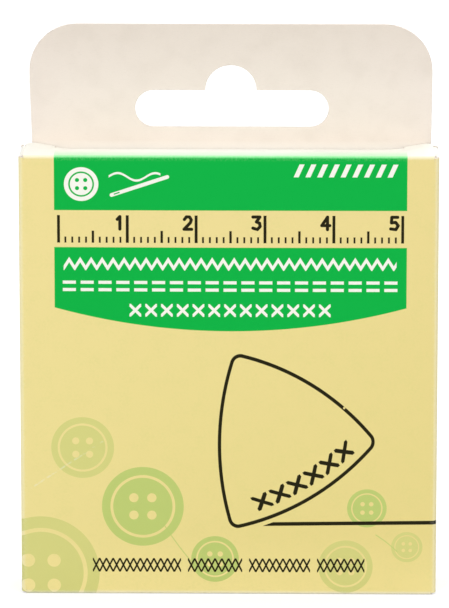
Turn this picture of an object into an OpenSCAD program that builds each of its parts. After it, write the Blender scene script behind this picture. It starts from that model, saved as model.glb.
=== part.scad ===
// Hanging retail carton for one flat triangle of tailor's chalk.
// The carton is a single die-cut, creased and glued sheet of paperboard. Each panel between two
// creases is a piece of its own here, so the flaps can turn on their creases.
// Millimetres. The carton stands on z = 0, its printed front faces -y, and x runs to its right.

/* [Board] */
// Thickness of the paperboard
board = 0.4; // [0.3:0.05:0.6]
// Slack left beside each crease line
crease_gap = 0.05; // [0.02:0.01:0.1]
// Air between two flaps that lie on each other
lap_gap = 0.08; // [0.05:0.01:0.15]
// Outside radius of the upright folded corners
fold_r = 0.7; // [0.6:0.05:1.2]

/* [Carton] */
// Width across the front
box_w = 61; // [50:0.5:64]
// Height from the base to the top of the closed lid
box_h = 66; // [62:0.5:110]
// Depth from the front to the back
box_d = 10; // [9:0.25:16]

/* [Glue seam] */
// Width of the glue flap inside the left side
glue_w = 7.4; // [5:0.2:8]
// Height that each end of the glue flap is cut back at its free edge
glue_chamfer = 4; // [2:0.5:8]
// Distance that the glue flap stops short of the carton's ends
glue_inset = 2.2; // [2:0.1:5]

/* [Hang tab] */
// Inset of each side of the tab from the carton's side
tab_inset = 1.1; // [0.9:0.1:6]
// Height of the tab above the lid
tab_rise = 17.8; // [15:0.1:30]
// Radius of the tab's top corners
tab_r = 6.3; // [2:0.1:12]

/* [Hang slot] */
// Length of the slot from end to end
slot_w = 28.6; // [16:0.2:32]
// Height of the slot
slot_h = 5.5; // [4.5:0.1:8]
// Height of the slot's centre above the lid
slot_rise = 5.1; // [4:0.1:12]
// Radius of the round peg notch over the slot
notch_r = 3.75; // [2.5:0.05:4.5]

/* [Lids] */
// Inset of each lid's sides from the carton's sides
lid_inset = 0.3; // [0.2:0.05:0.8]
// Narrowing of each lid from the crease to its free corners, on each side
lid_taper = 0.5; // [0:0.1:1]
// Radius of a lid's free corners
lid_corner_r = 1.2; // [0.5:0.1:2]
// Width of the flat lock corner beyond each end of the tuck crease
lock_w = 4.7; // [3:0.1:7]
// Air between a lock corner and the back panel
lock_gap = 0.1; // [0.1:0.05:0.3]
// Width of the slit between a lock corner and the tuck
slit = 0.1; // [0.1:0.05:0.3]

/* [Tucks] */
// Length of each tuck flap from its crease
tuck_l = 5.5; // [4:0.1:6]
// Radius of the tuck's free corners
tuck_r = 2.6; // [1:0.1:4]
// Air between the tuck crease and the back panel
tuck_gap = 0.6; // [0.55:0.05:1]
// Angle by which a tuck leans away from the back panel when it is shut in
tuck_lean = 19; // [18:1:26]

/* [Dust flaps] */
// Length of each dust flap from its crease
dust_l = 8.5; // [6:0.1:9]
// Distance from the carton's front to the dust flap
dust_front = 1.1; // [1:0.1:2]
// Length of the square stretch beside the crease, before the front edge slants
dust_root = 1.2; // [0.5:0.1:1.3]
// Depth that the slanted front edge takes off at the free end
dust_slant = 3.9; // [3.8:0.1:5]
// Air between the lock shoulder and the back panel
shoulder_gap = 0.4; // [0.3:0.05:0.8]
// Air between the lock shoulder and the end of the tuck
shoulder_side_gap = 0.3; // [0.2:0.05:0.6]
// Step from the lock shoulder to the rear edge in front of the tuck
shoulder_step = 1.4; // [1.3:0.1:2]
// Further narrowing of the rear edge at the free end
dust_taper = 0.8; // [0.7:0.1:1.5]
// Radius of the free corners
dust_r = 0.8; // [0.3:0.1:1]

/* [Chalk] */
// Air between the chalk and the front panel
chalk_front_gap = 0.35; // [0.2:0.05:0.5]
// Air behind the chalk, where the tucks go in
chalk_back_gap = 2.85; // [2.6:0.05:4]
// Air between the chalk's corners and the glue flap
chalk_side_gap = 1.4; // [0.3:0.1:6]
// Air between the chalk and the bottom lid
chalk_base_gap = 0.1; // [0.05:0.05:0.3]
// Thickness left at the rounded rim
chalk_rim = 1.6; // [1:0.1:3]
// Width of the sloping writing edge round each face
chalk_bevel = 6; // [3:0.1:8]
// Radius of the chalk's corners
chalk_r = 4.5; // [2:0.1:5]
// Bulge of each side beyond a straight line
chalk_bulge = 3.2; // [1:0.1:5]

/* [Hidden] */
$fn = 48;

cream = [0.925, 0.87, 0.61];
raw_board = [0.9, 0.87, 0.82];
chalk_yellow = [0.96, 0.83, 0.32];

half_w = box_w / 2;
half_d = box_d / 2;
half_board = board / 2;

// The lid crease runs along x at the front edge, at half the board's thickness
crease_y = -half_d + half_board;
lid_crease_z = box_h - half_board;
// The tuck crease runs along x near the back panel, at the same height
tuck_y = half_d - board - tuck_gap - half_board;
tuck_half_w = half_w - lid_inset - lock_w - slit;
// A leaning tuck reaches this far forward of its crease at the lid's underside
tuck_reach = half_board * (1 + sin(tuck_lean)) / cos(tuck_lean) + crease_gap;
// The dust flap crease runs along y, one board and one lap below the lid
dust_x = half_w - half_board;
dust_crease_z = box_h - board - lap_gap - half_board;

// Panels stop just short of the rounded crease edges of their flaps
front_end = board + crease_gap;
side_end = box_h - dust_crease_z + half_board + crease_gap;

// The glue flap lies inside the left side, so its fold is tighter by one board
seam_x = -half_w + board;
seam_fold_r = fold_r - crease_gap;

tab_w = box_w - 2 * tab_inset;

// The chalk fills the carton but for its play, and its corners are round about these centres
chalk_t = box_d - 2 * board - chalk_front_gap - chalk_back_gap;
chalk_half_chord = half_w - 2 * board - chalk_side_gap - chalk_r;
chalk_corner = chalk_half_chord / sin(60);
chalk_side_r = (pow(chalk_half_chord, 2) + pow(chalk_bulge, 2)) / (2 * chalk_bulge);
chalk_side_offset = chalk_side_r - chalk_bulge - chalk_corner / 2;
chalk_low = chalk_side_r - chalk_side_offset + chalk_r;
chalk_z = board + chalk_base_gap + chalk_low;
chalk_y = -half_d + board + chalk_front_gap + chalk_t / 2;

// A quarter bend of board from the direction of +x round to +y, about the origin
module bend(outside_r) {
    intersection() {
        difference() {
            circle(outside_r);
            circle(outside_r - board);
        }
        square(outside_r);
    }
}

// The round edge of a flap on its crease, centred on the origin and running along x
module crease_edge(length) {
    rotate([0, 90, 0]) cylinder(h = length, r = half_board, center = true);
}

// Copies the children to both ends of the x axis
module both_sides() {
    children();
    mirror([1, 0, 0]) children();
}

// Turns a piece made for the top closure into its twin at the bottom
module at_bottom() {
    translate([0, 0, box_h]) mirror([0, 0, 1]) children();
}

module front_section() {
    translate([-(half_w - fold_r), -half_d]) square([box_w - 2 * fold_r, board]);
    both_sides() translate([half_w - fold_r, -half_d + fold_r]) rotate(-90) bend(fold_r);
}

module front_panel() {
    color(cream)
        translate([0, 0, front_end])
            linear_extrude(box_h - 2 * front_end) front_section();
}

module right_side_panel() {
    color(cream)
        translate([half_w - board, -half_d + fold_r, side_end])
            cube([board, box_d - 2 * fold_r, box_h - 2 * side_end]);
}

// The left side runs on to the back, where it covers the folded seam
module left_side_panel() {
    color(cream)
        translate([-half_w, -half_d + fold_r, side_end])
            cube([board, box_d - fold_r - crease_gap, box_h - 2 * side_end]);
}

module glue_flap() {
    top = box_h - glue_inset;
    color(cream)
        translate([seam_x, half_d - seam_fold_r, 0])
            rotate([90, 0, 90])
                linear_extrude(board)
                    polygon([
                        [0, glue_inset], [0, top],
                        [-glue_w, top - glue_chamfer], [-glue_w, glue_inset + glue_chamfer]
                    ]);
}

module back_section() {
    left = seam_x + seam_fold_r;
    translate([left, half_d - board]) square([half_w - fold_r - left, board]);
    translate([half_w - fold_r, half_d - fold_r]) bend(fold_r);
    translate([left, half_d - seam_fold_r]) rotate(90) bend(seam_fold_r);
}

// A slot with round ends and a round notch over its middle, which steadies a hook or a peg
module hang_slot() {
    translate([0, box_h + slot_rise]) {
        square([slot_w - slot_h, slot_h], center = true);
        both_sides() translate([(slot_w - slot_h) / 2, 0]) circle(d = slot_h);
        translate([0, slot_h / 2]) circle(notch_r);
    }
}

module tab_outline() {
    difference() {
        union() {
            translate([-tab_w / 2, front_end]) square([tab_w, box_h + tab_rise - tab_r - front_end]);
            translate([-tab_w / 2 + tab_r, front_end])
                square([tab_w - 2 * tab_r, box_h + tab_rise - front_end]);
            both_sides() translate([tab_w / 2 - tab_r, box_h + tab_rise - tab_r]) circle(tab_r);
        }
        hang_slot();
    }
}

// Back of the carton and its hang tab, one uncreased panel
module back_panel() {
    color(cream) {
        linear_extrude(box_h - front_end) back_section();
        translate([0, half_d, 0]) rotate([90, 0, 0]) linear_extrude(board) tab_outline();
    }
}

// Outline of a lid seen from above: lock corners reach the back, the middle ends at the tuck crease
module lid_outline() {
    back = half_d - board - lock_gap;
    near = half_w - lid_inset;
    far = near - lid_taper;
    both_sides() {
        polygon([
            [0, crease_y], [near, crease_y], [far, back - lid_corner_r],
            [tuck_half_w + slit, back - lid_corner_r],
            [tuck_half_w + slit, tuck_y - tuck_reach],
            [0, tuck_y - tuck_reach]
        ]);
        translate([tuck_half_w + slit, back - lid_corner_r - crease_gap])
            square([far - lid_corner_r - tuck_half_w - slit, lid_corner_r + crease_gap]);
        translate([far - lid_corner_r, back - lid_corner_r]) circle(lid_corner_r);
    }
}

module lid() {
    translate([0, 0, box_h - board]) linear_extrude(board) lid_outline();
    translate([0, crease_y, lid_crease_z]) crease_edge(box_w - 2 * lid_inset);
}

// The tuck hangs from the free edge of the lid, with its two free corners rounded
module tuck() {
    translate([0, tuck_y, lid_crease_z])
        rotate([-tuck_lean, 0, 0]) {
            crease_edge(2 * tuck_half_w);
            translate([0, half_board, 0])
                rotate([90, 0, 0])
                    linear_extrude(board) {
                        translate([-tuck_half_w, -tuck_l + tuck_r])
                            square([2 * tuck_half_w, tuck_l - tuck_r]);
                        translate([-tuck_half_w + tuck_r, -tuck_l])
                            square([2 * (tuck_half_w - tuck_r), tuck_l]);
                        both_sides()
                            translate([tuck_half_w - tuck_r, -tuck_l + tuck_r]) circle(tuck_r);
                    }
        }
}

// Outline of the right dust flap seen from above. The lock shoulder beside the crease catches
// the lid's lock corner, and the rest of the rear edge leaves room for the tuck.
module dust_outline() {
    front = -half_d + dust_front;
    back = half_d - board - shoulder_gap;
    tip_x = dust_x - dust_l;
    shoulder_x = tuck_half_w + shoulder_side_gap;
    translate([dust_x - dust_r, front]) square([dust_r, back - front]);
    offset(r = dust_r) offset(delta = -dust_r)
        polygon([
            [dust_x, front], [dust_x - dust_root, front],
            [tip_x, front + dust_slant], [tip_x, back - shoulder_step - dust_taper],
            [shoulder_x, back - shoulder_step], [shoulder_x, back], [dust_x, back]
        ]);
}

module dust_flap() {
    front = -half_d + dust_front;
    back = half_d - board - shoulder_gap;
    translate([0, 0, dust_crease_z - half_board]) linear_extrude(board) dust_outline();
    translate([dust_x, (front + back) / 2, dust_crease_z]) rotate(90) crease_edge(back - front);
}

module top_lid() { color(cream) lid(); }
module top_tuck_flap() { color(cream) tuck(); }
module top_dust_flap_right() { color(raw_board) dust_flap(); }
module top_dust_flap_left() { color(raw_board) mirror([1, 0, 0]) dust_flap(); }
module bottom_lid() { color(cream) at_bottom() lid(); }
module bottom_tuck_flap() { color(cream) at_bottom() tuck(); }
module bottom_dust_flap_right() { color(raw_board) at_bottom() dust_flap(); }
module bottom_dust_flap_left() { color(raw_board) at_bottom() mirror([1, 0, 0]) dust_flap(); }

// Three bulging sides of one radius, with the corners rounded off
module chalk_outline() {
    offset(r = chalk_r)
        intersection_for(turn = [0, 120, 240])
            rotate(turn) translate([0, chalk_side_offset]) circle(chalk_side_r, $fn = 360);
}

// One slice of the chalk's thickness, set in from the rim
module chalk_slice(inset, thickness) {
    linear_extrude(thickness, center = true) offset(delta = -inset) chalk_outline();
}

// A flat triangle of pressed chalk, thinned all round to a writing edge
module chalk() {
    color(chalk_yellow)
        translate([0, chalk_y, chalk_z])
            rotate([90, 0, 0])
                hull() {
                    chalk_slice(0, chalk_rim);
                    chalk_slice(chalk_bevel, chalk_t);
                }
}

front_panel();
back_panel();
left_side_panel();
right_side_panel();
glue_flap();
top_lid();
top_tuck_flap();
top_dust_flap_left();
top_dust_flap_right();
bottom_lid();
bottom_tuck_flap();
bottom_dust_flap_left();
bottom_dust_flap_right();
chalk();
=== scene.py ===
# Looks for a hanging retail carton that holds one flat triangle of tailor's chalk.
# The carton is one printed sheet of paperboard. Every piece is laid out flat, as on the cutting die,
# in millimetres: u runs to the right round the carton, v runs up, and depth goes into the board from
# its printed face. Folding then turns (u, v, depth) into a place, and the print reads u and v.
import math
from functools import cached_property, reduce

import bmesh
import bpy
from mathutils import Euler, Matrix, Vector, noise


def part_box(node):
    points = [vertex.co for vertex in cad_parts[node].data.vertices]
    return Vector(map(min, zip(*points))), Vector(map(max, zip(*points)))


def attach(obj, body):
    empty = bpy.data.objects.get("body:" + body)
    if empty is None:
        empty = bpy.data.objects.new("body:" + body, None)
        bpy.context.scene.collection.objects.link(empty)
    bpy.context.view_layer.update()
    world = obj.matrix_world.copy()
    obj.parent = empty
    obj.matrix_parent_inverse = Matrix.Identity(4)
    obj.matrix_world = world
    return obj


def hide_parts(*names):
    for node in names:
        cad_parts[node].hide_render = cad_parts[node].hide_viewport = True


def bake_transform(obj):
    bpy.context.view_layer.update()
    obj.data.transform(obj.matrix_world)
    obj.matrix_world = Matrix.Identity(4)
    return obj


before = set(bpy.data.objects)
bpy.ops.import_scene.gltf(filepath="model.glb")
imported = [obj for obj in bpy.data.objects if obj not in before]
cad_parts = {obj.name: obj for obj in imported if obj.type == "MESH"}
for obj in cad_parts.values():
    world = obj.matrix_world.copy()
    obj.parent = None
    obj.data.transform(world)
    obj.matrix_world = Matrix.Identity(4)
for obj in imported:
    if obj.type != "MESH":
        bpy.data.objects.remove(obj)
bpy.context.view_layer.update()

MM = 0.001


def span(node, axis):
    """Lowest and highest coordinate of a CAD node along one axis, in millimetres."""
    low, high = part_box(node)
    return low[axis] / MM, high[axis] / MM


# Sizes read from the frame
BOARD = span("right_side_panel", 0)[1] - span("right_side_panel", 0)[0]
HALF_W = span("front_panel", 0)[1]
FRONT_Y = span("front_panel", 1)[0]
BACK_Y = span("back_panel", 1)[1]
BOX_H = span("top_lid", 2)[1]
SIDE_FRONT, SIDE_BACK = span("right_side_panel", 1)
LEFT_BACK = span("left_side_panel", 1)[1]
TAB_TOP = span("back_panel", 2)[1]
TUCK_HALF_W = span("top_tuck_flap", 0)[1]
LID_HALF_W = span("top_lid", 0)[1]
LID_BACK = span("top_lid", 1)[1]
DUST_TIP = span("top_dust_flap_right", 0)[0]
DUST_FRONT, DUST_BACK = span("top_dust_flap_right", 1)
DUST_TOP = span("top_dust_flap_right", 2)[1]
GLUE_LOW, GLUE_HIGH = span("glue_flap", 2)
GLUE_FREE, GLUE_FOLD = span("glue_flap", 1)
GLUE_X = span("glue_flap", 0)[0]

# Lengths that only the looks need, and the angle in degrees by which a tuck flap is turned down
FOLD_R = SIDE_FRONT - FRONT_Y
CREASE_R = 0.42
RIM = 0.05
LID_TURN = 1.0
DUST_TURN = 0.9
EAR_DROP = 0.25
TUCK_FALL = 109
LID_SAG = 0.85
BASE_SAG = 0.4
CHALK_BEVEL = 6.0
FRONT_SWELL, BACK_SWELL, SIDE_SWELL = 0.22, 0.12, 0.08

# The tab as photographed: its sides in x at the root and at full width, and its corners
TAB_ROOT_V = BOX_H - 0.45
TAB_ROOTS = (-28.9, 29.5)
TAB_SIDES = (-29.2, 29.6)
TAB_CORNER_R = 7.0

# Slack in telling whether an edge lies on a line
NEAR = 1e-3

# Where the pieces meet on the flat sheet
CORNER_X = HALF_W - FOLD_R
FOLD_LENGTH = (FOLD_R - BOARD / 2) * math.pi / 2
CREASE_LENGTH = (CREASE_R - BOARD / 2) * math.pi / 2
SIDE_U = CORNER_X + FOLD_LENGTH
BACK_U = SIDE_U + SIDE_BACK - SIDE_FRONT
SEAM_R = BACK_Y - GLUE_FOLD
SEAM_X = GLUE_X + SEAM_R
FLAT_BACK_U = BACK_U + FOLD_LENGTH
SEAM_U = FLAT_BACK_U + CORNER_X - SEAM_X
GLUE_U = SEAM_U + (SEAM_R - BOARD / 2) * math.pi / 2
LID_V = BOX_H - LID_TURN
LID_BEND_V = BOX_H - CREASE_R
LID_FLAT_V = LID_BEND_V + CREASE_LENGTH
LID_FLAT_Y = FRONT_Y + CREASE_R
TUCK_Y = 3.0
TUCK_V = LID_FLAT_V + TUCK_Y - LID_FLAT_Y
TUCK_CREASE_Y = LID_BACK - 0.7
TUCK_ROLL_Y = LID_BACK - 0.15
DUST_V = DUST_TOP - DUST_TURN
DUST_BEND_V = DUST_TOP - CREASE_R
DUST_FLAT_V = DUST_BEND_V + CREASE_LENGTH
DUST_FLAT_X = HALF_W - CREASE_R
EAR_V = BOX_H - EAR_DROP


class Section:
    """A folded strip seen edge on: a length along it and a depth in the board give a point. Each stretch
    is flat with its length, or a fold with its outer radius and the degrees by which it turns."""

    def __init__(self, start, heading, side, *stretches):
        self.side = side
        self.parts = []
        place, turn, along = start, math.radians(heading), 0.0
        for kind, size, *angle in stretches:
            bend = math.radians(angle[0]) if angle else 0.0
            length = size if kind == "flat" else (size - BOARD / 2) * bend
            self.parts.append((along, length, *place, turn, kind, size, bend))
            place = self(along + length, 0)
            turn += side * bend
            along += length

    def __call__(self, along, depth):
        reached = [part for part in self.parts if along >= part[0] - 1e-9] or self.parts[:1]
        begin, length, x, y, turn, kind, size, bend = reached[-1]
        side, step = self.side, along - begin
        if kind == "flat":
            return (
                x + step * math.cos(turn) - side * depth * math.sin(turn),
                y + step * math.sin(turn) + side * depth * math.cos(turn),
            )
        cx = x - side * size * math.sin(turn)
        cy = y + side * size * math.cos(turn)
        angle = turn + side * bend * step / length
        return (
            cx + side * (size - depth) * math.sin(angle),
            cy - side * (size - depth) * math.cos(angle),
        )


def smooth(t):
    t = min(max(t, 0.0), 1.0)
    return t * t * (3 - 2 * t)


def arc(centre, radius, start, end, steps=10):
    """Points of an arc, with its angles in degrees."""
    angles = [math.radians(start + (end - start) * i / steps) for i in range(steps + 1)]
    return [(centre[0] + radius * math.cos(a), centre[1] + radius * math.sin(a)) for a in angles]


def spaced(low, high, step):
    """Inner cuts that divide a stretch into about equal cells."""
    count = max(1, round((high - low) / step))
    return [low + (high - low) * i / count for i in range(1, count)]


def fold_rows(start, length, count=6):
    """Cuts across a fold, from where it starts to where it ends."""
    return [start + length * i / count for i in range(count + 1)]


def both_sides(right):
    """A closed outline from its right half."""
    return right + [(-u, v) for u, v in reversed(right)]


def both_ends(end):
    """One end of a wall, then its twin at the other end."""
    return end + [(u, BOX_H - v) for u, v in reversed(end)]


def cut_sheet(outline, holes, cuts_u, cuts_v):
    """A flat sheet with that outline, cut into cells so that it can bend."""
    sheet = bmesh.new()
    edges = []
    for loop in [outline, *holes]:
        ring = [sheet.verts.new((u, v, 0)) for u, v in loop]
        edges += [sheet.edges.new(pair) for pair in zip(ring, ring[1:] + ring[:1])]
    bmesh.ops.triangle_fill(sheet, use_beauty=True, edges=edges)
    cuts = [((u, 0, 0), (1, 0, 0)) for u in cuts_u] + [((0, v, 0), (0, 1, 0)) for v in cuts_v]
    for place, across in cuts:
        parts = sheet.verts[:] + sheet.edges[:] + sheet.faces[:]
        bmesh.ops.bisect_plane(sheet, geom=parts, dist=1e-4, plane_co=place, plane_no=across)
    for face in sheet.faces:
        face.normal_update()
        if face.normal.z < 0:
            face.normal_flip()
    sheet.verts.index_update()
    return sheet


def rim_of(sheet, joined):
    """The edges round a sheet, and how far each point on them draws back where the board is cut."""
    pairs = []
    sides = {}
    for edge in sheet.edges:
        if len(edge.link_faces) != 1:
            continue
        corner = next(c for c in edge.link_faces[0].loops if c.edge == edge)
        a, b = corner.vert, corner.link_loop_next.vert
        along = (b.co - a.co).normalized()
        middle = (a.co + b.co) / 2
        pairs.append((a.index, b.index))
        for vertex in (a.index, b.index):
            sides.setdefault(vertex, []).append((along.y, -along.x, joined(middle.x, middle.y)))
    drawn = {}
    for vertex, found in sides.items():
        drawn[vertex] = Vector((0, 0))
        cut = [Vector((u, v)) for u, v, kept in found if not kept]
        if cut:
            mean = sum(cut, drawn[vertex]).normalized()
            drawn[vertex] = mean * (-RIM / max(0.5, mean.dot(cut[0])))
    return pairs, drawn


def board_mesh(name, outline, place, holes=(), cuts_u=(), cuts_v=(), joined=lambda u, v: False):
    """A piece of board: printed face, raw face and cut edges with their arrises taken off.
    place turns (u, v, depth) into millimetres, and joined says which edge runs on into a neighbour."""
    sheet = cut_sheet(outline, holes, cuts_u, cuts_v)
    pairs, drawn = rim_of(sheet, joined)
    flat = [(v.co.x, v.co.y) for v in sheet.verts]
    cells = [[v.index for v in face.verts] for face in sheet.faces]
    sheet.free()
    none = Vector((0, 0))
    points = [(u + drawn.get(i, none).x, v + drawn.get(i, none).y, 0) for i, (u, v) in enumerate(flat)]
    inner = len(points)
    points += [(u, v, BOARD) for u, v, _ in points]
    near = {vertex: len(points) + i for i, vertex in enumerate(drawn)}
    points += [(*flat[vertex], RIM) for vertex in drawn]
    far = {vertex: len(points) + i for i, vertex in enumerate(drawn)}
    points += [(*flat[vertex], BOARD - RIM) for vertex in drawn]
    faces = [(cell, 0) for cell in cells]
    faces += [([inner + i for i in reversed(cell)], 1) for cell in cells]
    for a, b in pairs:
        faces.append(([b, a, near[a], near[b]], 2))
        faces.append(([near[b], near[a], far[a], far[b]], 2))
        faces.append(([far[b], far[a], inner + a, inner + b], 2))
    mesh = bpy.data.meshes.new(name)
    mesh.from_pydata([Vector(place(*p)) * MM for p in points], [], [f for f, _ in faces])
    mesh.polygons.foreach_set("material_index", [slot for _, slot in faces])
    return finished(mesh, points, 38)


def finished(mesh, points, angle):
    """Keeps the points from before the folding for the finishes to read, faces the closed mesh
    outward, and shades it smooth but for the edges that are sharper than the angle."""
    kept = mesh.attributes.new("sheet", "FLOAT_VECTOR", "POINT")
    kept.data.foreach_set("vector", [c for p in points for c in p])
    work = bmesh.new()
    work.from_mesh(mesh)
    bmesh.ops.recalc_face_normals(work, faces=work.faces)
    work.to_mesh(mesh)
    work.free()
    mesh.shade_smooth()
    mesh.set_sharp_from_angle(angle=math.radians(angle))
    mesh.update()
    return mesh


# Boxes on the bake map, as left, foot, width and height in shares of its side: the printed and the raw
# face, and the cells of the cut edge, with the corners that a face takes in its cell
MAP_FACES = [(0.01, 0.01, 0.765, 0.82), (0.785, 0.01, 0.205, 0.82)]
MAP_RIM = (0.01, 0.85, 0.98, 0.14)
MAP_COLUMNS = 56
MAP_CELL = [(0.1, 0.1), (0.9, 0.1), (0.9, 0.9), (0.1, 0.9)]


def on_map(box, across, up):
    left, foot, width, height = box
    return left + width * across, foot + height * up


def lay_print_map(mesh):
    """Map for baking a board. The printed face has most of the room, the raw face
    a strip beside it, and each face of the cut edge a small cell over it."""
    sheet = [tuple(place.vector) for place in mesh.attributes["sheet"].data]
    low_u, high_u = min(p[0] for p in sheet), max(p[0] for p in sheet)
    low_v, high_v = min(p[1] for p in sheet), max(p[1] for p in sheet)
    layer = mesh.uv_layers.new(name="OFBake")
    rims = [face for face in mesh.polygons if face.material_index == 2]
    for face in mesh.polygons:
        if face.material_index == 2:
            continue
        for corner in face.loop_indices:
            u, v, _ = sheet[mesh.loops[corner].vertex_index]
            across, up = (u - low_u) / (high_u - low_u), (v - low_v) / (high_v - low_v)
            layer.data[corner].uv = on_map(MAP_FACES[face.material_index], across, up)
    rows = math.ceil(len(rims) / MAP_COLUMNS)
    for number, face in enumerate(rims):
        row, column = divmod(number, MAP_COLUMNS)
        for corner, (x, y) in zip(face.loop_indices, MAP_CELL):
            layer.data[corner].uv = on_map(MAP_RIM, (column + x) / MAP_COLUMNS, (row + y) / rows)


def add_object(name, data):
    made = bpy.data.objects.new(name, data)
    bpy.context.scene.collection.objects.link(made)
    return made


def add_piece(name, mesh, finishes, slot, made_of="board"):
    """Shows a mesh in place of the CAD node of the same name."""
    piece = add_object(name + "_" + made_of, mesh)
    for finish in finishes:
        mesh.materials.append(finish)
    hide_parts(name)
    return piece


def bulge(across, along, height):
    """Slight outward swelling of a panel, held back by its folds and ends. Both shares run -1 to 1."""
    return height * max(0.0, 1 - across**2) ** 1.5 * max(0.0, 1 - along**2)


def up_share(v):
    """Height on a wall as a share, from -1 to 1."""
    return (v - BOX_H / 2) / (BOX_H / 2 - 1)


# The walls, the seam and the tab

front_section = Section(
    (-HALF_W, SIDE_FRONT), 270, 1,
    ("fold", FOLD_R, 90), ("flat", 2 * CORNER_X), ("fold", FOLD_R, 90),
)


def place_front(u, v, depth):
    x, y = front_section(u + SIDE_U, depth)
    return x, y - bulge(u / CORNER_X, up_share(v), FRONT_SWELL), v


def front_mesh():
    low = [(CORNER_X, BOX_H - LID_V), (CORNER_X, BOX_H - EAR_V), (SIDE_U, BOX_H - EAR_V)]
    folds = fold_rows(CORNER_X, FOLD_LENGTH)[:-1]

    def joined(u, v):
        return abs(u) > SIDE_U - NEAR or abs(u) < CORNER_X + NEAR

    mesh = board_mesh(
        "front_panel", both_sides(both_ends(low)), place_front, joined=joined,
        cuts_u=spaced(-CORNER_X, CORNER_X, 3) + folds + [-f for f in folds],
        cuts_v=[BOX_H - LID_V, *spaced(BOX_H - LID_V, LID_V, 3), LID_V],
    )
    lay_print_map(mesh)
    return mesh


def side_mesh(name, side, back):
    """One side wall. Its ends carry the dust flaps, with a small ear beside each."""
    flap_front = SIDE_U + DUST_FRONT - SIDE_FRONT
    flap_back = SIDE_U + DUST_BACK - SIDE_FRONT
    end = SIDE_U + back - SIDE_FRONT
    half = (SIDE_BACK - SIDE_FRONT) / 2
    rear_ear_v = EAR_V - 0.2
    top = [
        (SIDE_U, EAR_V), (flap_front, EAR_V), (flap_front, DUST_V),
        (flap_back, DUST_V), (flap_back, rear_ear_v), (end, rear_ear_v),
    ]
    outline = [(side * u, v) for u, v in both_ends(top)]

    def joined(u, v):
        u = abs(u)
        if u < SIDE_U + NEAR or (side > 0 and u > end - NEAR):
            return True
        return flap_front + NEAR < u < flap_back - NEAR

    def place(u, v, depth):
        swell = bulge((abs(u) - SIDE_U - half) / half, up_share(v), SIDE_SWELL)
        return side * (HALF_W - depth + swell), SIDE_FRONT + abs(u) - SIDE_U, v

    return board_mesh(
        name, outline, place, joined=joined,
        cuts_u=[side * u for u in spaced(SIDE_U, end, 1.5)],
        cuts_v=[BOX_H - DUST_V, *spaced(BOX_H - DUST_V, DUST_V, 4), DUST_V],
    )


back_section = Section(
    (HALF_W, SIDE_BACK), 90, 1,
    ("fold", FOLD_R, 90), ("flat", CORNER_X - SEAM_X), ("fold", SEAM_R, 90),
)


def back_u(x):
    return FLAT_BACK_U + CORNER_X - x


def place_back(u, v, depth):
    """The back, with the tab leaning forward by a millimetre at its top."""
    x, y = back_section(u - BACK_U, depth)
    lean = max(0.0, (v - BOX_H) / (TAB_TOP - BOX_H)) ** 1.7
    return x, y + bulge(x / CORNER_X, up_share(v), BACK_SWELL) - lean, v


def tab_outline():
    """Outline of the tab from its left root over the top to its right root, in x and v."""
    (root_left, root_right), (left, right), radius = TAB_ROOTS, TAB_SIDES, TAB_CORNER_R
    corner_v = TAB_TOP - radius
    up = [(root_left, TAB_ROOT_V), (root_left - 0.1, BOX_H + 3), (left, BOX_H + 9)]
    down = [(right, BOX_H + 9), (root_right, TAB_ROOT_V)]
    top_left = arc((left + radius, corner_v), radius, 180, 90, 14)
    top_right = arc((right - radius, corner_v), radius, 90, 0, 14)
    return up + top_left + top_right + down


def hang_slot():
    """The display slot with round ends, and the round peg notch over its middle."""
    middle_x, notch_x, centre = 0.35, 0.2, BOX_H + 5.1
    half, radius, notch = 14.15, 2.75, 3.75
    right = arc((middle_x + half - radius, centre), radius, -90, 90, 14)
    over = arc((notch_x, centre + radius), notch, 0, 180, 20)
    left = arc((middle_x - half + radius, centre), radius, 90, 270, 14)
    return [(back_u(x), v) for x, v in right + over + left]


def back_mesh():
    """The back in one with the tab. At the seam it runs on round the corner to the glue flap."""
    cut_u = SEAM_U + (GLUE_U - SEAM_U) * 0.6
    seam = [(cut_u, GLUE_LOW), (GLUE_U, GLUE_LOW), (GLUE_U, GLUE_HIGH), (cut_u, GLUE_HIGH)]
    tab = [(back_u(x), v) for x, v in tab_outline()]
    outline = [(BACK_U, 0), (cut_u, 0), *seam, (cut_u, TAB_ROOT_V), *tab, (BACK_U, TAB_ROOT_V)]
    folds = fold_rows(BACK_U, FOLD_LENGTH)[1:] + fold_rows(SEAM_U, GLUE_U - SEAM_U)[:-1]

    def joined(u, v):
        return u < BACK_U + NEAR or u > GLUE_U - NEAR

    return board_mesh(
        "back_panel", outline, place_back, holes=[hang_slot()], joined=joined,
        cuts_u=folds + spaced(FLAT_BACK_U, SEAM_U, 3), cuts_v=spaced(0, TAB_TOP, 3),
    )


def glue_mesh():
    reach = GLUE_FOLD - GLUE_FREE
    outline = [
        (GLUE_U, GLUE_LOW), (GLUE_U + reach, GLUE_LOW + 4),
        (GLUE_U + reach, GLUE_HIGH - 4), (GLUE_U, GLUE_HIGH),
    ]

    def place(u, v, depth):
        return GLUE_X + depth, GLUE_FOLD - (u - GLUE_U), v

    return board_mesh("glue_flap", outline, place, joined=lambda u, v: u < GLUE_U + NEAR)


# The closures, made for the top and turned over for the base


def sag(x, y):
    """Share of the droop of a lid, which its tuck pulls down between the two lock corners."""
    drooping, fade = 23.2, 6.1
    across = 1 - smooth((abs(x) - drooping) / fade)
    along = min(max(0.0, (y - SIDE_FRONT) / (TUCK_CREASE_Y - SIDE_FRONT)), 1.0)
    return across * along**2.2


def level(v, top):
    """A height at the top, or its twin at the base."""
    return v if top else BOX_H - v


def droop_of(top):
    return LID_SAG if top else BASE_SAG


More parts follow.
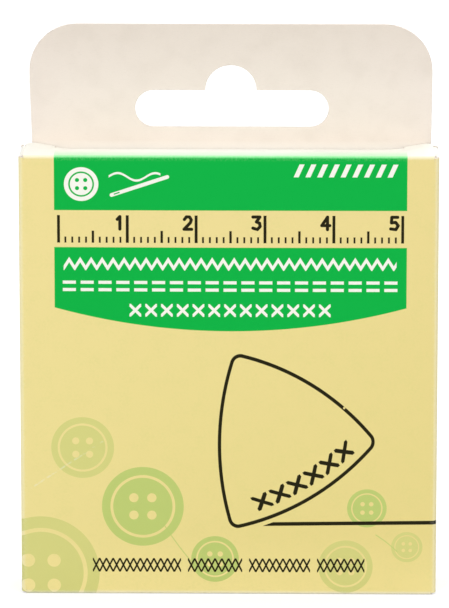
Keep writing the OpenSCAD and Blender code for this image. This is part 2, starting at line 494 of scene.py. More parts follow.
def closure_mesh(name, top, outline, place, joined, cuts_u, cuts_v):
    """A piece of the closure at the top, or its twin turned over at the base."""
    def placed(u, v, depth):
        x, y, z = place(u, level(v, top), depth)
        return x, y, level(z, top)

    return board_mesh(
        name, [(u, level(v, top)) for u, v in outline], placed,
        joined=lambda u, v: joined(u, level(v, top)),
        cuts_u=cuts_u, cuts_v=[level(v, top) for v in cuts_v],
    )


lid_section = Section(
    (FRONT_Y, LID_V), 90, -1,
    ("flat", LID_TURN - CREASE_R), ("fold", CREASE_R, 90), ("flat", 12),
)
tuck_section = Section(
    (TUCK_Y, BOX_H), 0, -1,
    ("flat", TUCK_ROLL_Y - CREASE_R - TUCK_Y), ("fold", CREASE_R, TUCK_FALL), ("flat", 12),
)
dust_section = Section(
    (HALF_W, DUST_V), 90, 1,
    ("flat", DUST_TURN - CREASE_R), ("fold", CREASE_R, 90), ("flat", 12),
)


def lid_mesh(name, top):
    """The lid, with its rear corners slit away from the tuck as lock corners."""
    back_v = LID_FLAT_V + LID_BACK - LID_FLAT_Y
    near, far, slit, round_r = CORNER_X, LID_HALF_W - 0.5, TUCK_HALF_W + 0.1, 1.2
    right = [(near, LID_V), (near, LID_BEND_V), (LID_HALF_W - 0.15, LID_FLAT_V + 0.4)]
    right += [(far, back_v - round_r), *arc((far - round_r, back_v - round_r), round_r, 0, 90, 6)]
    right += [(slit, back_v), (slit, TUCK_V), (TUCK_HALF_W, TUCK_V)]

    def place(u, v, depth):
        y, z = lid_section(v - LID_V, depth)
        return u, y, z - droop_of(top) * sag(u, y)

    def joined(u, v):
        return v < LID_BEND_V or abs(v - TUCK_V) < NEAR and abs(u) < TUCK_HALF_W + 0.01

    bends = fold_rows(LID_BEND_V, CREASE_LENGTH)
    columns, rows = spaced(-CORNER_X, CORNER_X, 1.5), bends + spaced(bends[-1], TUCK_V, 0.6)
    return closure_mesh(name, top, both_sides(right), place, joined, columns, rows)


def tuck_mesh(name, top):
    """The tuck flap, from the lid's flat middle over the rear crease and down along the back."""
    bend_v = TUCK_V + TUCK_ROLL_Y - CREASE_R - TUCK_Y
    bend = (CREASE_R - BOARD / 2) * math.radians(TUCK_FALL)
    tip_v = bend_v + bend + 4.9
    half, radius = TUCK_HALF_W, 2.6
    right = [(half, TUCK_V), *arc((half - radius, tip_v - radius), radius, 0, 90, 10)]

    def place(u, v, depth):
        y, z = tuck_section(v - TUCK_V, depth)
        return u, y, z - droop_of(top) * sag(u, TUCK_Y + v - TUCK_V)

    def joined(u, v):
        return abs(v - TUCK_V) < NEAR

    columns = spaced(-half, half, 1.5)
    rows = fold_rows(bend_v, bend, 8) + spaced(bend_v + bend, tip_v, 1.2)
    return closure_mesh(name, top, both_sides(right), place, joined, columns, rows)


def dust_mesh(name, side, top):
    """A dust flap, with the lock shoulder at its rear that the slit of the lid catches."""
    shoulder_x = TUCK_HALF_W + 0.3

    def at(x, y):
        return SIDE_U + y - SIDE_FRONT, DUST_FLAT_V + DUST_FLAT_X - x

    outline = [
        (at(0, DUST_FRONT)[0], DUST_V), at(29.0, DUST_FRONT), at(DUST_TIP + 0.3, DUST_FRONT + 3.7),
        at(DUST_TIP, DUST_FRONT + 4.3), at(DUST_TIP, DUST_BACK - 2.8), at(DUST_TIP + 0.5, DUST_BACK - 2.2),
        at(shoulder_x, DUST_BACK - 1.4), at(shoulder_x, DUST_BACK - 0.4),
        at(shoulder_x + 0.4, DUST_BACK), (at(0, DUST_BACK)[0], DUST_V),
    ]
    outline = [(side * u, v) for u, v in outline]

    def place(u, v, depth):
        x, z = dust_section(v - DUST_V, depth)
        y = SIDE_FRONT + abs(u) - SIDE_U
        return side * x, y, z - droop_of(top) * sag(x, y)

    def joined(u, v):
        return abs(v - DUST_V) < NEAR

    columns = [side * (SIDE_U + across) for across in spaced(0, 9, 1)]
    rows = fold_rows(DUST_BEND_V, CREASE_LENGTH)
    rows += spaced(rows[-1], DUST_FLAT_V + DUST_FLAT_X - DUST_TIP, 0.8)
    return closure_mesh(name, top, outline, place, joined, columns, rows)


# The chalk


def chalk_mesh():
    """A flat triangle with three bulging sides, built as rings that step in from its rim."""
    high = span("chalk", 0)[1]
    front, back = span("chalk", 1)
    base = span("chalk", 2)[0]
    thick = back - front
    corner_r, bulge_h, bevel, rim, count = 4.5, 3.2, CHALK_BEVEL, 1.6, 240
    chord = high - corner_r
    core = chord / math.sin(math.radians(60))
    side_r = (chord**2 + bulge_h**2) / (2 * bulge_h)
    offset = side_r - bulge_h - core / 2
    middle_y, middle_z = (front + back) / 2, base + side_r - offset + corner_r

    def ring(inset):
        """Outline drawn back by inset, by the direction in which its edge faces."""
        kept = max(corner_r - inset, 0.35)
        radius = side_r - (inset - corner_r + kept)
        reach = math.asin(min(1.0, math.sin(math.radians(60)) * offset / radius))
        half = math.radians(60) - reach
        points = []
        for i in range(count):
            facing = 360 / count * i
            third = math.radians((facing + 30) % 120 - 60)
            base_turn = math.radians(facing) - third
            turn = min(max(third, -half), half)
            x = -offset + radius * math.cos(turn) + kept * math.cos(third)
            y = radius * math.sin(turn) + kept * math.sin(third)
            points.append((
                x * math.cos(base_turn) - y * math.sin(base_turn),
                x * math.sin(base_turn) + y * math.cos(base_turn),
            ))
        return points

    # Each step's inset from the rim, with half the thickness there: rounded rim, bevel, flat face
    rise = (thick - rim) / 2
    steps = [(0.0, rim / 2 - 0.35), (0.1, rim / 2 - 0.12), (0.35, rim / 2)]
    steps += [(0.35 + (bevel - 0.7) * t, rim / 2 + rise * t * 0.98) for t in (0.1, 0.33, 0.66, 0.93, 1.0)]
    steps += [(inset, thick / 2) for inset in (bevel, bevel + 0.6, bevel + 6, bevel + 12)]
    layers = [(inset, -half) for inset, half in reversed(steps)] + steps
    points = []
    insets = []
    for inset, depth in layers:
        insets += [inset] * count
        for x, z in ring(inset):
            # Small chips at the rim, where the noise stands high
            chip = max(0.0, noise.noise((x * 0.55, depth * 0.4, z * 0.55)) - 0.18) * 1.1
            draw = 1 - chip * max(0.0, 1 - inset / 1.2) / math.hypot(x, z)
            points.append((x * draw, depth, z * draw))
    faces = []
    last = (len(layers) - 1) * count
    for a in range(0, last, count):
        for i in range(count):
            j = (i + 1) % count
            faces.append([a + i, a + j, a + count + j, a + count + i])
    faces += [list(range(count)), list(reversed(range(last, last + count)))]
    mesh = bpy.data.meshes.new("chalk")
    places = [Vector((x, middle_y + y, middle_z + z)) * MM for x, y, z in points]
    mesh.from_pydata(places, [], faces)
    mesh.attributes.new("inset", "FLOAT", "POINT").data.foreach_set("value", insets)
    return finished(mesh, points, 15)


# Shader maths written as plain expressions


def maths(operation, swapped=False):
    """A method that adds a Math node for a value and what follows it, or the two swapped."""
    def added(self, *others):
        given = (*others, self) if swapped else (self, *others)
        return self.nodes.node("Math", {"operation": operation}, dict(enumerate(given)))
    return added


class Value:
    """A number that varies over a surface. Arithmetic on it adds Math nodes to its material."""

    def __init__(self, nodes, socket):
        self.nodes = nodes
        self.socket = socket

    __add__ = __radd__ = maths("ADD")
    __sub__ = maths("SUBTRACT")
    __rsub__ = maths("SUBTRACT", swapped=True)
    __mul__ = __rmul__ = maths("MULTIPLY")
    __pow__ = maths("POWER")
    __abs__ = maths("ABSOLUTE")
    least = maths("MINIMUM")
    most = maths("MAXIMUM")
    sine = maths("SINE")
    cosine = maths("COSINE")
    bearing = maths("ARCTAN2")
    swung = maths("PINGPONG")
    wrapped = maths("WRAP")

    def __truediv__(self, other):
        return self * (1 / other)

    def __neg__(self):
        return self * -1

    def repeated(self, pitch):
        """Place about the nearest of the points that are a pitch apart."""
        return self.wrapped(pitch / 2, -pitch / 2)

    def clamped(self):
        return self.nodes.node("Clamp", {}, {"Value": self})

    def ramp(self, low, high):
        """0 at low to 1 at high, straight between them."""
        return ((self - low) / (high - low)).clamped()


class Nodes:
    """The nodes of a material or of the world, and the one way in which they are added."""

    def __init__(self, tree):
        self.tree = tree

    def node(self, kind, settings, inputs, output=0):
        made = self.tree.nodes.new("ShaderNode" + kind)
        for key, value in settings.items():
            setattr(made, key, value)
        for key, value in inputs.items():
            self.feed(made.inputs[key], value)
        return Value(self, made.outputs[output])

    def feed(self, socket, value):
        if isinstance(value, Value):
            self.tree.links.new(value.socket, socket)
        else:
            socket.default_value = value

    def mix(self, base, over, mask):
        return self.node("Mix", {"data_type": "RGBA"}, {0: mask, 6: base, 7: over}, 2)

    def layered(self, base, *layers):
        """Colours laid one over another, each by its mask."""
        return reduce(lambda under, layer: self.mix(under, *layer), layers, base)

    def seen_by(self, *rays):
        """1 for the named kinds of ray, and 0 for light on its way to other things."""
        return reduce(Value.most, [self.node("LightPath", {}, {}, f"Is {ray} Ray") for ray in rays])


def part_of_point(axis):
    """One coordinate of a finish's point, worked out once."""
    return cached_property(lambda finish: finish.node("SeparateXYZ", {}, {0: finish.point}, axis))


class Finish(Nodes):
    """A material being made. Each shape on it is a distance from the shape's edge, below zero inside."""

    def __init__(self, name, roughness=0.5, specular=0.08):
        self.material = bpy.data.materials.new(name)
        self.material.use_nodes = True
        super().__init__(self.material.node_tree)
        self.shader = self.tree.nodes["Principled BSDF"]
        self.set("Roughness", roughness)
        self.set("Specular IOR Level", specular)

    def set(self, name, value):
        self.feed(self.shader.inputs[name], value)

    @cached_property
    def point(self):
        """Place on the flat sheet, or in the chalk, in millimetres, kept from before the folding."""
        return self.node("Attribute", {"attribute_name": "sheet"}, {}, "Vector")

    u, v, depth = part_of_point("X"), part_of_point("Y"), part_of_point("Z")

    def noise(self, scale, detail=2.0, stretch=(1, 1, 1), roughness=0.5):
        place = self.node("Mapping", {}, {"Vector": self.point, "Scale": stretch})
        inputs = {"Vector": place, "Scale": scale, "Detail": detail, "Roughness": roughness}
        return self.node("TexNoise", {}, inputs)

    def bump(self, height, distance, strength):
        inputs = {"Height": height, "Distance": distance * MM, "Strength": strength}
        self.set("Normal", self.node("Bump", {}, inputs))

    def vector(self, operation, *given, output="Vector"):
        return self.node("VectorMath", {"operation": operation}, dict(enumerate(given)), output)

    def away(self, point, u, v):
        """Distance of a point from a place on the sheet."""
        return self.vector("DISTANCE", point, (u, v, 0), output="Value")

    def disc(self, u, v, radius):
        return self.away(self.point, u, v) - radius

    def box(self, low_u, high_u, low_v, high_v):
        across = abs(self.u - (low_u + high_u) / 2) - (high_u - low_u) / 2
        along = abs(self.v - (low_v + high_v) / 2) - (high_v - low_v) / 2
        return across.most(along)

    def stroke(self, start, end, half):
        """A round-ended stroke of the pen, with half its width."""
        run = (end[0] - start[0], end[1] - start[1], 0)
        size = run[0] ** 2 + run[1] ** 2
        passed = self.vector("SUBTRACT", self.point, (*start, 0))
        share = self.vector("DOT_PRODUCT", passed, [c / size for c in run], output="Value").clamped()
        nearest = self.node("VectorMath", {"operation": "SCALE"}, {0: run, "Scale": share})
        return self.vector("DISTANCE", passed, nearest, output="Value") - half

    def pen(self, places, half):
        """A line of strokes through the places."""
        return together(*[self.stroke(*pair, half) for pair in zip(places, places[1:])])


def together(*shapes):
    return reduce(Value.least, shapes)


def off_line(gap, slope):
    """Distance from a sloping line, by the gap straight up to it."""
    return abs(gap) / math.hypot(1, slope)


def colour(red, green, blue):
    """A printer's colour, from 0 to 255, as Blender's linear light."""
    def linear(c):
        c /= 255
        return c / 12.92 if c <= 0.04045 else ((c + 0.055) / 1.055) ** 2.4
    return (linear(red), linear(green), linear(blue), 1.0)


def grey(level):
    return (level, level, level, 1.0)


CREAM_LEFT = colour(241, 225, 152)
CREAM_RIGHT = colour(236, 219, 144)
CREAM_TOP = colour(245, 225, 160)
# Painted light: a paler cream at the foot, which lifts the shade near the floor
CREAM_FOOT_PAINTED_LIGHT = colour(250, 233, 160)
# Painted light: a paler cream on the upright folds and along the foot's edge, which lifts the shade where
# they face away from the lamps
CREAM_FOLD_PAINTED_LIGHT = colour(255, 246, 202)
HEADER_GREEN = colour(0, 180, 68)
# Painted highlight: pale mint over the header's green on the top crease, standing in for the glare on the
# bend
HEADER_MINT_PAINTED_GLARE = colour(142, 239, 160)
WHITE_INK = colour(250, 250, 240)
DARK_INK = colour(28, 25, 0)
PALE_GREEN = colour(215, 214, 132)
LEAF_GREEN = colour(191, 208, 118)
LID_COATING = colour(250, 249, 240)
FLAP_COATING = colour(239, 231, 222)
RAW_BOARD = colour(244, 233, 222)
RAW_FIBRE = colour(216, 204, 190)
# Painted light: pale raw board in a band at the top crease, which lifts the shade where the tab meets the
# lid
RAW_PAINTED_LIGHT = colour(251, 247, 240)
CUT_BOARD = colour(230, 222, 210)
CHALK_YELLOW = colour(245, 219, 112)
CHALK_DEEP = colour(236, 202, 84)
CHALK_DUST = colour(252, 240, 184)

PRINT_SOFTNESS = 0.06


def inked(distance):
    """Share of ink at a distance from a printed edge."""
    return (0.5 - distance / PRINT_SOFTNESS).clamped()


# The printed shapes, placed in millimetres on the flat sheet

HEADER_U = 0.27
HEADER_HALF = 25.62
BAND_HIGH, BAND_LOW = 57.93, 52.43
HEADER_FOOT = 39.95
HEADER_ARC_R = 96.5
LID_PRINT_V = BOX_H + 4

SCALE_START = HEADER_U - 25
SCALE_FOOT = 53.1
SCALE_TICKS = [(1, 0.14, 54.0), (5, 0.18, 54.9), (10, 0.22, 57.2)]
DIGIT_V = 55.15
DIGIT_HALF = 0.24
DIGITS = {
    1: [(0.3, 1.45), (0.68, 1.85), (0.68, 0)],
    2: [(0.05, 1.45), (0.35, 1.85), (0.8, 1.82), (1.05, 1.4), (0.9, 0.95), (0, 0), (1.1, 0)],
    3: [(0, 1.85), (1.0, 1.85), (0.5, 1.12), (0.95, 0.95), (1.05, 0.45), (0.65, 0), (0, 0.2)],
    4: [(0.82, 0), (0.82, 1.85), (0, 0.6), (1.15, 0.6)],
    5: [(1.0, 1.85), (0.15, 1.85), (0.1, 1.02), (0.7, 1.1), (1.08, 0.6), (0.75, 0.02), (0, 0.12)],
}

# The small gap in the drawn outline, by centre and radius
OUTLINE_NICK = (16.9, 28.42, 0.17)

# Buttons by centre and radius. The shares of the radius are the groove's radius and half width,
# then each hole's distance from the middle and its radius.
HEADER_BUTTON = (-21.4, 61.8, 2.5)
HEADER_BUTTON_SHARES = (0.7, 0.048, 0.24, 0.12)
BUTTONS_PALE = [(-27.6, 3.2, 8.6), (-21.4, 22.3, 4.6), (17.2, 4.3, 4.0), (26.2, 7.3, 2.3)]
BUTTONS_STRONG = [(-12.6, 13.4, 6.0), (-2.0, 5.4, 3.5), (20.3, 13.2, 2.9)]
GROUND_BUTTON_SHARES = (0.76, 0.035, 0.22, 0.115)


def header(finish):
    """The green panel, parted by the band of the scale and rounded at its foot."""
    sides = finish.box(HEADER_U - HEADER_HALF, HEADER_U + HEADER_HALF, HEADER_FOOT - 1, LID_PRINT_V)
    foot = finish.disc(HEADER_U, HEADER_FOOT + HEADER_ARC_R, HEADER_ARC_R)
    return sides.most(foot).most(-finish.box(-HALF_W, HALF_W, BAND_LOW, BAND_HIGH))


def button(finish, centre_u, centre_v, radius, shares):
    """A button with a groove round its rim and four holes."""
    groove_r, groove_half, hole_off, hole_r = [radius * share for share in shares]
    near = finish.away(finish.point, centre_u, centre_v)
    groove = abs(near - groove_r) - groove_half
    passed = finish.vector("SUBTRACT", finish.point, (centre_u, centre_v, 0))
    hole = finish.away(finish.vector("ABSOLUTE", passed), hole_off, hole_off) - hole_r
    return (near - radius).most(-groove.least(hole))


def ground_buttons(finish, which):
    return together(*[button(finish, *place, GROUND_BUTTON_SHARES) for place in which])


def button_and_needle(finish):
    """White ornament at the left of the header: a four-hole button, and a needle with its thread."""
    needle = finish.stroke((-17.0, 60.2), (-8.9, 62.9), 0.27)
    eye = finish.stroke((-16.6, 60.33), (-15.9, 60.57), 0.09)
    wave = 0.55 * ((finish.u + 12.0) * 1.15).sine()
    thread = (abs(finish.v - 62.9 - wave) - 0.16).most(finish.box(-17.4, -9.9, 60, 65))
    return together(button(finish, *HEADER_BUTTON, HEADER_BUTTON_SHARES), needle.most(-eye), thread)


def slanted_stitches(finish):
    """White row at the right of the header."""
    centre_u, centre_v, slant, pitch, reach = 17.0, 63.85, 0.45, 1.7, 7.6
    height = finish.v - centre_v
    lean = finish.u - height * slant - centre_u
    stitch = (abs(lean.repeated(pitch)) - 0.36).most(abs(height) - 0.95)
    return stitch.most(abs(lean) - reach)


def measure(finish):
    """A five centimetre scale with plain numbers, as on a tape measure."""
    shapes = []
    for step, half, top in SCALE_TICKS:
        tick = abs((finish.u - SCALE_START).repeated(step)) - half
        shapes.append(tick.most(finish.box(SCALE_START - 0.2, SCALE_START + 50.2, SCALE_FOOT, top)))
    for number, places in DIGITS.items():
        left = SCALE_START + 10 * number - 1.75
        shapes.append(finish.pen([(left + x, DIGIT_V + y) for x, y in places], DIGIT_HALF))
    return together(*shapes)


def cross_stitch(along, across, half, reach):
    """One cross stitch about the place where along and across are zero."""
    cross = off_line(abs(along) - abs(across), 1) - half
    return cross.most(abs(along) - reach[0]).most(abs(across) - reach[1])


def stitch_rows(finish):
    """Three rows of white stitches in the lower band: zigzag, running and cross stitch."""
    zigzag_v, dash_v, cross_v, slope = 49.3, 46.65, 43.05, 1.6
    u, v = finish.u - 0.2, finish.v
    zigzag = off_line(v - zigzag_v - (u + 24.2).swung(0.8) * slope, slope) - 0.21
    zigzag = zigzag.most(finish.box(-24.0, 24.4, 49.0, 51.2))
    dash = (abs(u.repeated(2.6)) - 0.95).most(abs(abs(v - dash_v) - 0.55) - 0.23)
    cross = cross_stitch(u.repeated(2.3), v - cross_v, 0.21, (0.85, 0.95))
    return together(zigzag, dash.most(abs(u) - 24.5), cross.most(abs(u) - 14.9))


def chalk_outline(finish):
    """Outline of a rounded triangle with bulging sides, three times the same third."""
    reach, swell, corner, half = 11.1, 1.7, 1.32, 0.265
    centre_u, centre_v = 7.656, 23.33
    core = reach / math.sin(math.radians(60))
    side_r = (reach**2 + swell**2) / (2 * swell)
    centre_x = side_r - swell - core / 2
    across, up = finish.u - centre_u, finish.v - centre_v
    x, y = (across - up * 0.0122) / 0.954, (up + across * 0.0033) / 1.04
    radius = (x * x + y * y) ** 0.5
    third = abs((y.bearing(x) - math.pi).repeated(math.tau / 3))
    x, y = radius * third.cosine(), radius * third.sine()
    side = abs(((x + centre_x) ** 2 + y**2) ** 0.5 - (side_r + corner))
    corner_x, corner_y = core / 2, core * math.sin(math.radians(60))
    tip = abs(((x - corner_x) ** 2 + (y - corner_y) ** 2) ** 0.5 - corner)
    beyond = (y * (corner_x + centre_x) - (x + centre_x) * corner_y).ramp(-0.01, 0.01)
    return side * (1 - beyond) + tip * beyond - half


def drawn_line(finish):
    """The line that the drawn chalk has marked, from a slanted end to round the corner of the carton."""
    start_u, end_u, line_v, half, tilt = 5.77, 36.6, 10.76, 0.285, 0.0111
    height = finish.v - line_v - (finish.u - 4) * tilt
    start = start_u - finish.u + height * 2.7
    end = finish.u - end_u - height * 1.1
    return (abs(height) - half).most(start).most(end)


def hem_stitches(finish):
    """Dark cross stitches along the lower side inside the drawn triangle."""
    centre_u, centre_v, run, rise, bend, pitch = 11.1, 17.75, 0.845, 0.535, 0.012, 2.84
    u, v = finish.u - centre_u, finish.v - centre_v
    along = u * run + v * rise
    across = v * run - u * rise - along**2 * bend + 0.3
    cross = cross_stitch((along + pitch / 2).repeated(pitch), across, 0.29, (1.2, 1.2))
    return cross.most(abs(along) - 8.5)


def herringbone(finish):
    """Dark row of overlapping cross stitches at the foot of the front, in four lengths."""
    low_v, high_v, slope = 3.45, 5.45, 2
    swing = (finish.u + 20).swung(1.0) * slope
    rising, falling = finish.v - low_v - swing, finish.v - high_v + swing
    row = together(off_line(rising, slope), off_line(falling, slope)) - 0.13
    row = row.most(finish.box(-20, 20, low_v - 0.05, high_v + 0.05))
    for gap_u in (-7, 2, 12):
        row = row.most(-finish.box(gap_u, gap_u + 1, 3, 6))
    return row


def loose_threads(finish):
    """Two fine threads that trail from the buttons."""
    u, v = finish.u, finish.v
    one = abs(v - 9.5 + (u + 9.4) * 1.15 - (u + 5) ** 2 * 0.05) * 0.65 - 0.09
    two = abs(v - 8.6 + (u - 22.6) * 0.9 + (u - 24) ** 2 * 0.06) * 0.74 - 0.08
    return one.most(finish.box(-9.4, -3.4, 0, 30)).least(two.most(finish.box(21.6, 24.8, 0, 30)))


# The finishes of the carton


def off_fold(finish):
    """Distance along the sheet from the middle of the nearest upright fold."""
    front = abs(abs(finish.u) - (CORNER_X + SIDE_U) / 2)
    rear = [abs(finish.u - middle / 2) for middle in (BACK_U + FLAT_BACK_U, SEAM_U + GLUE_U)]
    return together(front, *rear)


def beyond_end(finish):
    """Distance past the nearer end of the walls, below zero on the walls."""
    return abs(finish.v - BOX_H / 2) - BOX_H / 2


def printed_ground(finish):
    """The cream, a little deeper to the right and lighter to the top, with a faint mottle. It is paler at
    the
    foot and on the upright folds: painted light that lifts the shade near the floor and on the folds."""
    foot = abs(finish.v - 0.2).ramp(0.15, 0.45)
    mottle = finish.noise(0.35, 3.0) * 0.5 + finish.noise(2.4, 2.0) * 0.5
    return finish.layered(
        CREAM_LEFT,
        (CREAM_RIGHT, finish.u.ramp(-26, 26)),
        (CREAM_TOP, finish.v.ramp(20, 72) * 0.5),
        # Painted light: the foot and the upright folds are made paler to lift the shade there
        (CREAM_FOOT_PAINTED_LIGHT, (1 - finish.v.ramp(0, 9)) * 0.7),
        (CREAM_FOLD_PAINTED_LIGHT, (1 - off_fold(finish).ramp(0.1, 0.35).least(foot)) * 0.6),
        (PALE_GREEN, mottle.ramp(0.48, 0.75) * 0.22),
    )


def buttoned_ground(finish):
    """The cream with its palest buttons, which run on over the folds at the foot."""
    pale = inked(ground_buttons(finish, BUTTONS_PALE)) * 0.9
    return finish.mix(printed_ground(finish), PALE_GREEN, pale)


def wear(finish):
    """Whitening along the creases, broken up, and a few fine scuffs."""
    edge = off_fold(finish).least(abs(beyond_end(finish) + 0.1))
    grain = finish.noise(3.2, 4.0, roughness=0.65)
    crease = (1 - edge.ramp(0.1, 0.75)) * grain.ramp(0.42, 0.68)
    scratch = finish.stroke((-29, 16.1), (-18.5, 23.2), 0.05)
    scratch = (1 - scratch.ramp(0.0, 0.12)) * finish.noise(1.3, 2.0).ramp(0.42, 0.6)
    fleck = finish.noise(1.1, 5.0, roughness=0.75).ramp(0.735, 0.76)
    return (crease * 0.14).most(scratch * 0.3).most(fleck * 0.4)


def coated(finish, shade, rubbed_and_painted_light):
    """Gloss and fine relief of the coated face: fibres show faintly through the coating."""
    fibres = finish.noise(6.0, 3.0, (1.0, 0.35, 1.0)) * 0.5 + finish.noise(1.1, 2.0) * 0.5
    finish.set("Base Color", shade)
    finish.set("Roughness", 0.46 + fibres * 0.12 + rubbed_and_painted_light * 0.25)
    finish.set("Coat Weight", 0.06 - rubbed_and_painted_light * 0.06)
    finish.set("Coat Roughness", 0.28)
    finish.bump(fibres, 0.02, 0.35)
    return finish.material


def printed_front():
    """Printed and coated face of the front and the two sides."""
    finish = Finish("printed_front")
    white = together(button_and_needle(finish), slanted_stitches(finish), stitch_rows(finish))
    drawn = together(chalk_outline(finish), drawn_line(finish))
    dark = together(measure(finish), drawn, hem_stitches(finish), herringbone(finish))
    nick = inked(finish.disc(*OUTLINE_NICK))
    rubbed_and_painted_light = wear(finish)
    shade = finish.layered(
        buttoned_ground(finish),
        (LEAF_GREEN, inked(ground_buttons(finish, BUTTONS_STRONG)) * 0.95),
        (LEAF_GREEN, inked(loose_threads(finish)) * 0.7),
        (HEADER_GREEN, inked(header(finish))),
        (WHITE_INK, inked(white)),
        (DARK_INK, inked(dark) * (1 - nick * 0.9)),
        (WHITE_INK, rubbed_and_painted_light),
    )
    return coated(finish, shade, rubbed_and_painted_light)


def printed_back():
    """Printed and coated face of the back, with the cream ground only."""
    finish = Finish("printed_back")
    rubbed_and_painted_light = wear(finish)
    return coated(finish, finish.mix(printed_ground(finish), WHITE_INK, rubbed_and_painted_light), rubbed_and_painted_light)


def coated_lid():
    """Coated face of the lids and tucks, whitest on the lid and a little greyer on the tuck. The header's
    green runs just over the top crease. On the crease, a painted highlight whitens the cream and turns the
    green to a pale mint that fades out over the lid, standing in for the glare on the bend."""
    finish = Finish("coated_lid")
    behind = beyond_end(finish)
    cloud = finish.noise(0.3, 3.0).ramp(0.4, 0.75) * 0.2
    bare = finish.mix(LID_COATING, FLAP_COATING, behind.ramp(9.3, 10.5).most(cloud))
    green = inked(header(finish))
    # Painted highlight: the mint's share, strong on the crease and fading out over the lid
    painted_glare_share = (1 - behind.ramp(-0.26, 0.0) * 0.5) * (1 - behind.ramp(0.0, 4.2)) ** 1.3
    rubbed_and_painted_light = wear(finish)
    shade = finish.layered(
        buttoned_ground(finish),
        # Painted highlight: across the crease the cream turns white early, and the green gives way to mint
        (bare, behind.ramp(-0.5, 0.0)),
        (HEADER_MINT_PAINTED_GLARE, green * painted_glare_share),
        (HEADER_GREEN, green * (1 - behind.ramp(-0.4, -0.24))),
        (WHITE_INK, rubbed_and_painted_light),
    )
    return coated(finish, shade, rubbed_and_painted_light)


def coated_flap():
    """Outer face of the dust flaps and the glue flap: coating without print, with the cream's bleed
    at the crease."""
    finish = Finish("coated_flap")
    behind = beyond_end(finish)
    bare = finish.mix(LID_COATING, FLAP_COATING, behind.ramp(-0.2, 0.8))
    shade = finish.mix(buttoned_ground(finish), bare, behind.ramp(-1.2, -0.95))
    return coated(finish, shade, wear(finish))


def raw_board():
    """Unprinted inner face: short fibres, a soft mottle, painted shade that greys the tab towards its top,
    and a band of painted light at the top crease that lifts the shade where the tab meets the lid."""
    finish = Finish("raw_board", 0.9, 0.2)
    across = finish.noise(5.0, 4.0, (0.25, 1.6, 1.0), 0.7)
    along = finish.noise(5.5, 4.0, (1.5, 0.3, 1.0), 0.7)
    cloud = finish.noise(0.25, 3.0)
    fibre = across.ramp(0.55, 0.8).most(along.ramp(0.58, 0.82))
    # Painted shade: the tab greys towards its top, where less light bounces up from the lid
    painted_shade_at_top = finish.v.ramp(TAB_TOP - 10, TAB_TOP) * 0.36
    shade = finish.mix(RAW_BOARD, RAW_FIBRE, fibre * 0.3 + cloud.ramp(0.45, 0.8) * 0.2 + painted_shade_at_top)
    # Painted light: a pale band just under the top crease lifts the shade where the tab meets the lid
    rubbed_and_painted_light = finish.v.ramp(BOX_H - 1.8, BOX_H - 0.9) * (1 - finish.v.ramp(BOX_H - 0.9, BOX_H + 0.3))
    finish.set("Base Color", finish.mix(shade, RAW_PAINTED_LIGHT, rubbed_and_painted_light * (0.45 + cloud * 0.6)))
    finish.set("Roughness", 0.84 + cloud * 0.12)
    finish.bump(across * 0.5 + along * 0.5, 0.03, 0.4)
    return finish.material


def cut_edge():
    """Cut edge of the board: pressed plies seen end on, a little rough."""
    finish = Finish("cut_edge", 0.92, 0.2)
    plies = (finish.depth * 62.0 + finish.noise(2.0) * 6.0).sine()
    fuzz = finish.noise(12.0, 4.0, roughness=0.7)
    shade = finish.mix(CUT_BOARD, RAW_BOARD, (plies * 0.25 + 0.5) * 0.6 + fuzz * 0.4)
    finish.set("Base Color", shade)
    finish.bump(plies * 0.4 + fuzz, 0.05, 0.5)
    return finish.material


def pressed_chalk():
    """Pressed chalk: fine powdery grain and small pits darkened as painted shade, paler at the rim from
    wear and along the bevel's crest as a painted highlight.
    """
    finish = Finish("pressed_chalk", 0.95, 0.1)
    inset = finish.node("Attribute", {"attribute_name": "inset"}, {}, "Fac")
    cloud = finish.noise(0.12, 3.0)
    grain = finish.noise(1.7, 5.0, roughness=0.72)
    speck = finish.noise(5.5, 3.0, roughness=0.6)
    pit = finish.node("TexVoronoi", {}, {"Vector": finish.point, "Scale": 0.9}, "Distance")
    pits = (1 - pit.ramp(0.05, 0.2)) * finish.noise(0.5, 2.0).ramp(0.5, 0.58)
    # Painted highlight: a pale line along the bevel's crest, so that the bevel shows under soft light; the
    # paler rim is wear
    painted_ridge_highlight = (1 - abs(inset - CHALK_BEVEL).ramp(0.0, 0.75)) * 0.75
    worn_and_painted_highlight = painted_ridge_highlight.most(1 - inset.ramp(0.1, 1.3)) * grain.ramp(0.3, 0.6)
    finish.set("Base Color", finish.layered(
        CHALK_YELLOW,
        # Painted shade: the pits darken towards the deeper yellow, beside the grain's own tone
        (CHALK_DEEP, grain.ramp(0.45, 0.75) * 0.35 + pits * 0.6),
        (CHALK_DUST, speck.ramp(0.55, 0.75) * 0.45 + cloud.ramp(0.45, 0.7) * 0.25),
        (CHALK_DUST, worn_and_painted_highlight * 0.8),
    ))
    finish.set("Roughness", 0.9 + speck * 0.08)
    finish.bump(grain * 0.6 + speck * 0.3 - pits, 0.25, 0.6)
    return finish.material


# Putting the pieces in the scene, the walls and the chalk on their bodies


def add_walls(front, back, flap, raw, cut):
    walls = [
        ("front_panel", front_mesh(), front, "printed_board"),
        ("right_side_panel", side_mesh("right_side_panel", 1, SIDE_BACK), front, "printed_board"),
        ("left_side_panel", side_mesh("left_side_panel", -1, LEFT_BACK), front, "printed_board"),
        ("back_panel", back_mesh(), back, "printed_board"),
        ("glue_flap", glue_mesh(), flap, "raw_board"),
    ]
    for name, mesh, face, slot in walls:
        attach(add_piece(name, mesh, (face, raw, cut), slot), "sleeve")


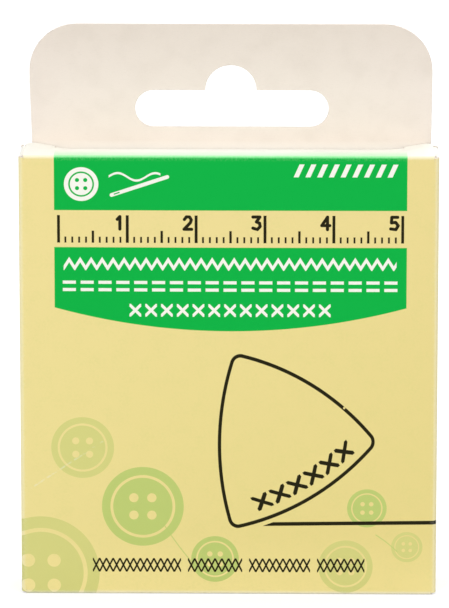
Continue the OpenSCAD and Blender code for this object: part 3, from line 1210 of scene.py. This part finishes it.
def add_closure(end, lid_face, flap_face, raw, cut):
    """Lid, tuck and two dust flaps of one end, each shaped with the fold at its crease."""
    top = end == "top"
    name = end + "_lid"
    lid = add_piece(name, lid_mesh(name, top), (lid_face, raw, cut), "printed_board")
    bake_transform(lid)
    name = end + "_tuck_flap"
    tuck = add_piece(name, tuck_mesh(name, top), (lid_face, raw, cut), "printed_board")
    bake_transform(tuck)
    for side, word in ((-1, "left"), (1, "right")):
        name = end + "_dust_flap_" + word
        flap = add_piece(name, dust_mesh(name, side, top), (flap_face, raw, cut), "raw_board")
        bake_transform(flap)


def add_carton_and_chalk():
    raw, cut = raw_board(), cut_edge()
    flap_face, lid_face = coated_flap(), coated_lid()
    add_walls(printed_front(), printed_back(), flap_face, raw, cut)
    for end in ("top", "bottom"):
        add_closure(end, lid_face, flap_face, raw, cut)
    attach(add_piece("chalk", chalk_mesh(), (pressed_chalk(),), "chalk", "block"), "chalk")


add_carton_and_chalk()


# Floor, light and camera

FLOOR_SHADE = grey(0.72)
FLOOR_GLOW = grey(0.44)
WORLD_LIGHT = 0.4

# Each soft square lamp by name, place in metres, width and power
LAMPS = [
    ("key", (-0.45, -0.8, 0.6), 0.6, 3.95),
    ("fill", (0.6, -0.8, 0.35), 0.7, 2.1),
    ("top", (0.0, 0.0, 0.8), 0.6, 2.6),
    ("back", (0.35, 0.85, 0.4), 0.6, 3.2),
]
LIT_PLACE = Vector((0, 0, 0.04))

# The photograph's view: angles in degrees, aim and distance in metres, the rest in its pixels
VIEW_PITCH, VIEW_YAW = 13.47, -0.76
VIEW_AIM = (-0.00025, FRONT_Y * MM, 0.04408)
VIEW_DISTANCE = 0.836
VIEW_FOCAL = 5740.0
VIEW_HEIGHT = 608
VIEW_NUDGE = (-2.47, -0.61)


def add_floor():
    """Pale floor that the camera sees as white, with the object's shadow on it."""
    bpy.ops.mesh.primitive_plane_add(size=6, location=(0, 0, -0.00002))
    floor = bpy.context.object
    floor.name = "floor"
    finish = Finish("pale_floor", 0.9, 0.0)
    finish.set("Base Color", FLOOR_SHADE)
    finish.set("Emission Color", finish.mix(grey(0.0), FLOOR_GLOW, finish.seen_by("Camera", "Glossy")))
    finish.set("Emission Strength", 1.0)
    floor.data.materials.append(finish.material)


def add_world():
    """White to the camera, in reflections and through glass, and dimmer as a light."""
    world = bpy.data.worlds.new("studio")
    bpy.context.scene.world = world
    world.use_nodes = True
    nodes = Nodes(world.node_tree)
    background = nodes.tree.nodes["Background"]
    background.inputs["Color"].default_value = grey(1.0)
    white = nodes.seen_by("Camera", "Glossy", "Transmission")
    nodes.feed(background.inputs["Strength"], WORLD_LIGHT + white * (1 - WORLD_LIGHT))


def add_lamp(name, place, width, power):
    light = bpy.data.lights.new(name, "AREA")
    light.shape = "SQUARE"
    light.size = width
    light.energy = power
    lamp = add_object(name, light)
    lamp.location = place
    lamp.rotation_euler = (LIT_PLACE - Vector(place)).to_track_quat("-Z", "Y").to_euler()


def add_camera():
    """The photograph's view: nearly square on to the front, from a little above."""
    turn = Euler((math.radians(90 - VIEW_PITCH), 0, math.radians(-VIEW_YAW))).to_matrix()
    right, up, back = turn.transposed()
    nudge = (right * VIEW_NUDGE[0] + up * VIEW_NUDGE[1]) * (VIEW_DISTANCE / VIEW_FOCAL)
    place = Vector(VIEW_AIM) + nudge + back * VIEW_DISTANCE
    data = bpy.data.cameras.new("camera")
    data.sensor_fit = "VERTICAL"
    data.sensor_height = 24
    data.lens = VIEW_FOCAL * data.sensor_height / VIEW_HEIGHT
    data.clip_start = 0.05
    camera = add_object("camera", data)
    camera.matrix_world = Matrix.Translation(place) @ turn.to_4x4()
    bpy.context.scene.camera = camera


add_floor()
add_world()
for lamp in LAMPS:
    add_lamp(*lamp)
add_camera()
bpy.context.scene.view_settings.view_transform = "Standard"
